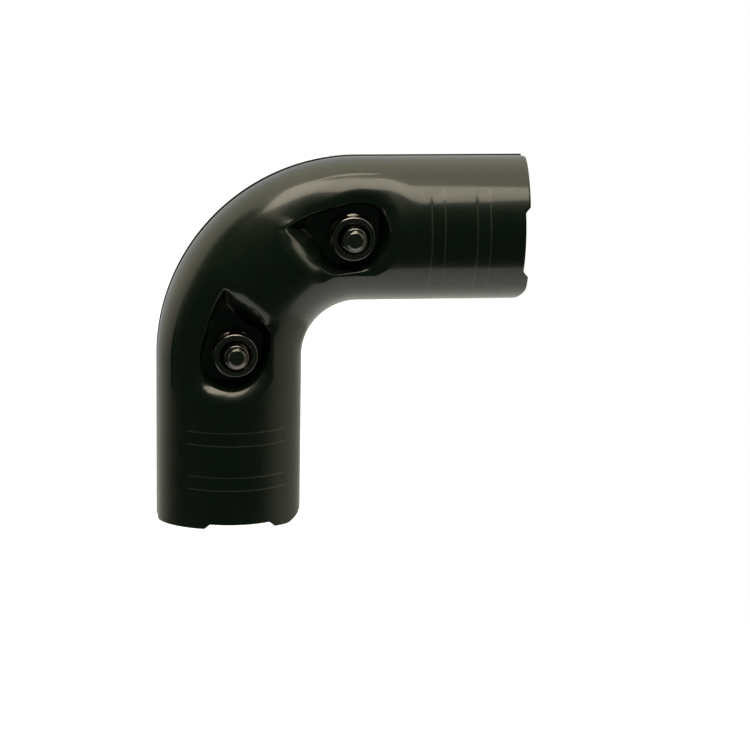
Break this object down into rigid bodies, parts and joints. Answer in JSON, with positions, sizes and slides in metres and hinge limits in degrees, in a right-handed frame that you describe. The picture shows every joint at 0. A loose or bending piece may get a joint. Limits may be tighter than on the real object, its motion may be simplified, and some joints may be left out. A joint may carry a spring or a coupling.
{
  "type": "lean tube joint",
  "caption": "Right-angle joint for round lean tube: two pressed steel half shells that bolts clamp round the ends of two tubes.",
  "frame": {"origin": "on the lower tube's axis, midway between the lower socket's two grip ribs", "axes": "+X along the upper tube, out of its socket; -Z along the lower tube, out of its socket; Y along the bolts, with the nuts at -Y"},
  "size_m": [0.0821, 0.0324, 0.082],
  "materials": {
    "black_coat": "glossy black electrocoat on pressed steel",
    "black_oxide": "dark oxide, slightly oiled"
  },
  "bodies": {
    "root": {"front_shell": "black_coat", "rear_shell": "black_coat", "upper_bolt": "black_oxide", "lower_bolt": "black_oxide", "upper_nut": "black_oxide", "lower_nut": "black_oxide"}
  },
  "joints": []
}
